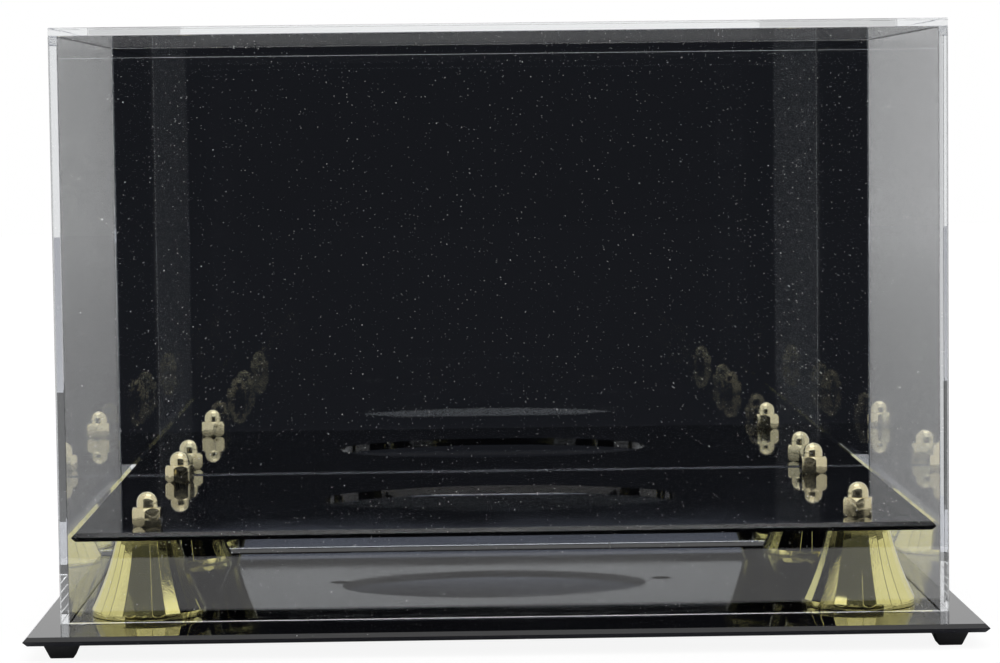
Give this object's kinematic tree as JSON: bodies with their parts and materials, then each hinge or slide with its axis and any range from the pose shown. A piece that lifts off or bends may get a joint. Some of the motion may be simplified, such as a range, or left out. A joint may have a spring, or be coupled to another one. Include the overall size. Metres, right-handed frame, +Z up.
{
  "type": "football display case",
  "caption": "Footed black display case with a raised oval seat on fluted gold risers and a clear lift-off cover with a mirrored back.",
  "frame": {"origin": "on the table, under the middle of the base plate", "axes": "+Z up, -Y out of the front panel towards the viewer, +X to the viewer's right"},
  "size_m": [0.331, 0.241, 0.2165],
  "materials": {
    "black_acrylic": "polished black acrylic sheet",
    "foot_rubber": "matt black moulded rubber",
    "gold_plating": "bright yellow metal plating over moulded plastic",
    "zinc_steel": "zinc-plated steel",
    "nut_brass": "pale plated brass, lightly worn",
    "clear_acrylic": "clear polished acrylic sheet",
    "mirror_face": "acrylic mirror",
    "mirror_paint": "grey protective paint over the reflective coat"
  },
  "bodies": {
    "stand": {"base_plate": "black_acrylic", "seat_plate": "black_acrylic", "foot_front_left": "foot_rubber", "foot_front_right": "foot_rubber", "foot_rear_left": "foot_rubber", "foot_rear_right": "foot_rubber", "riser_front_left": "gold_plating", "riser_front_right": "gold_plating", "riser_rear_left": "gold_plating", "riser_rear_right": "gold_plating", "washer_front_left": "zinc_steel", "washer_front_right": "zinc_steel", "washer_rear_left": "zinc_steel", "washer_rear_right": "zinc_steel", "screw_front_left": "zinc_steel", "screw_front_right": "zinc_steel", "screw_rear_left": "zinc_steel", "screw_rear_right": "zinc_steel", "cap_nut_front_left": "nut_brass", "cap_nut_front_right": "nut_brass", "cap_nut_rear_left": "nut_brass", "cap_nut_rear_right": "nut_brass"},
    "cover": {"cover_front": "clear_acrylic", "cover_left": "clear_acrylic", "cover_right": "clear_acrylic", "cover_top": "clear_acrylic", "mirror_sheet": "mirror_face", "mirror_backing": "mirror_paint"}
  },
  "joints": [
    {"name": "cover_lift", "type": "slide", "parent": "stand", "child": "cover", "axis": [0, 0, 1], "range_m": [0, 0.215]}
  ]
}
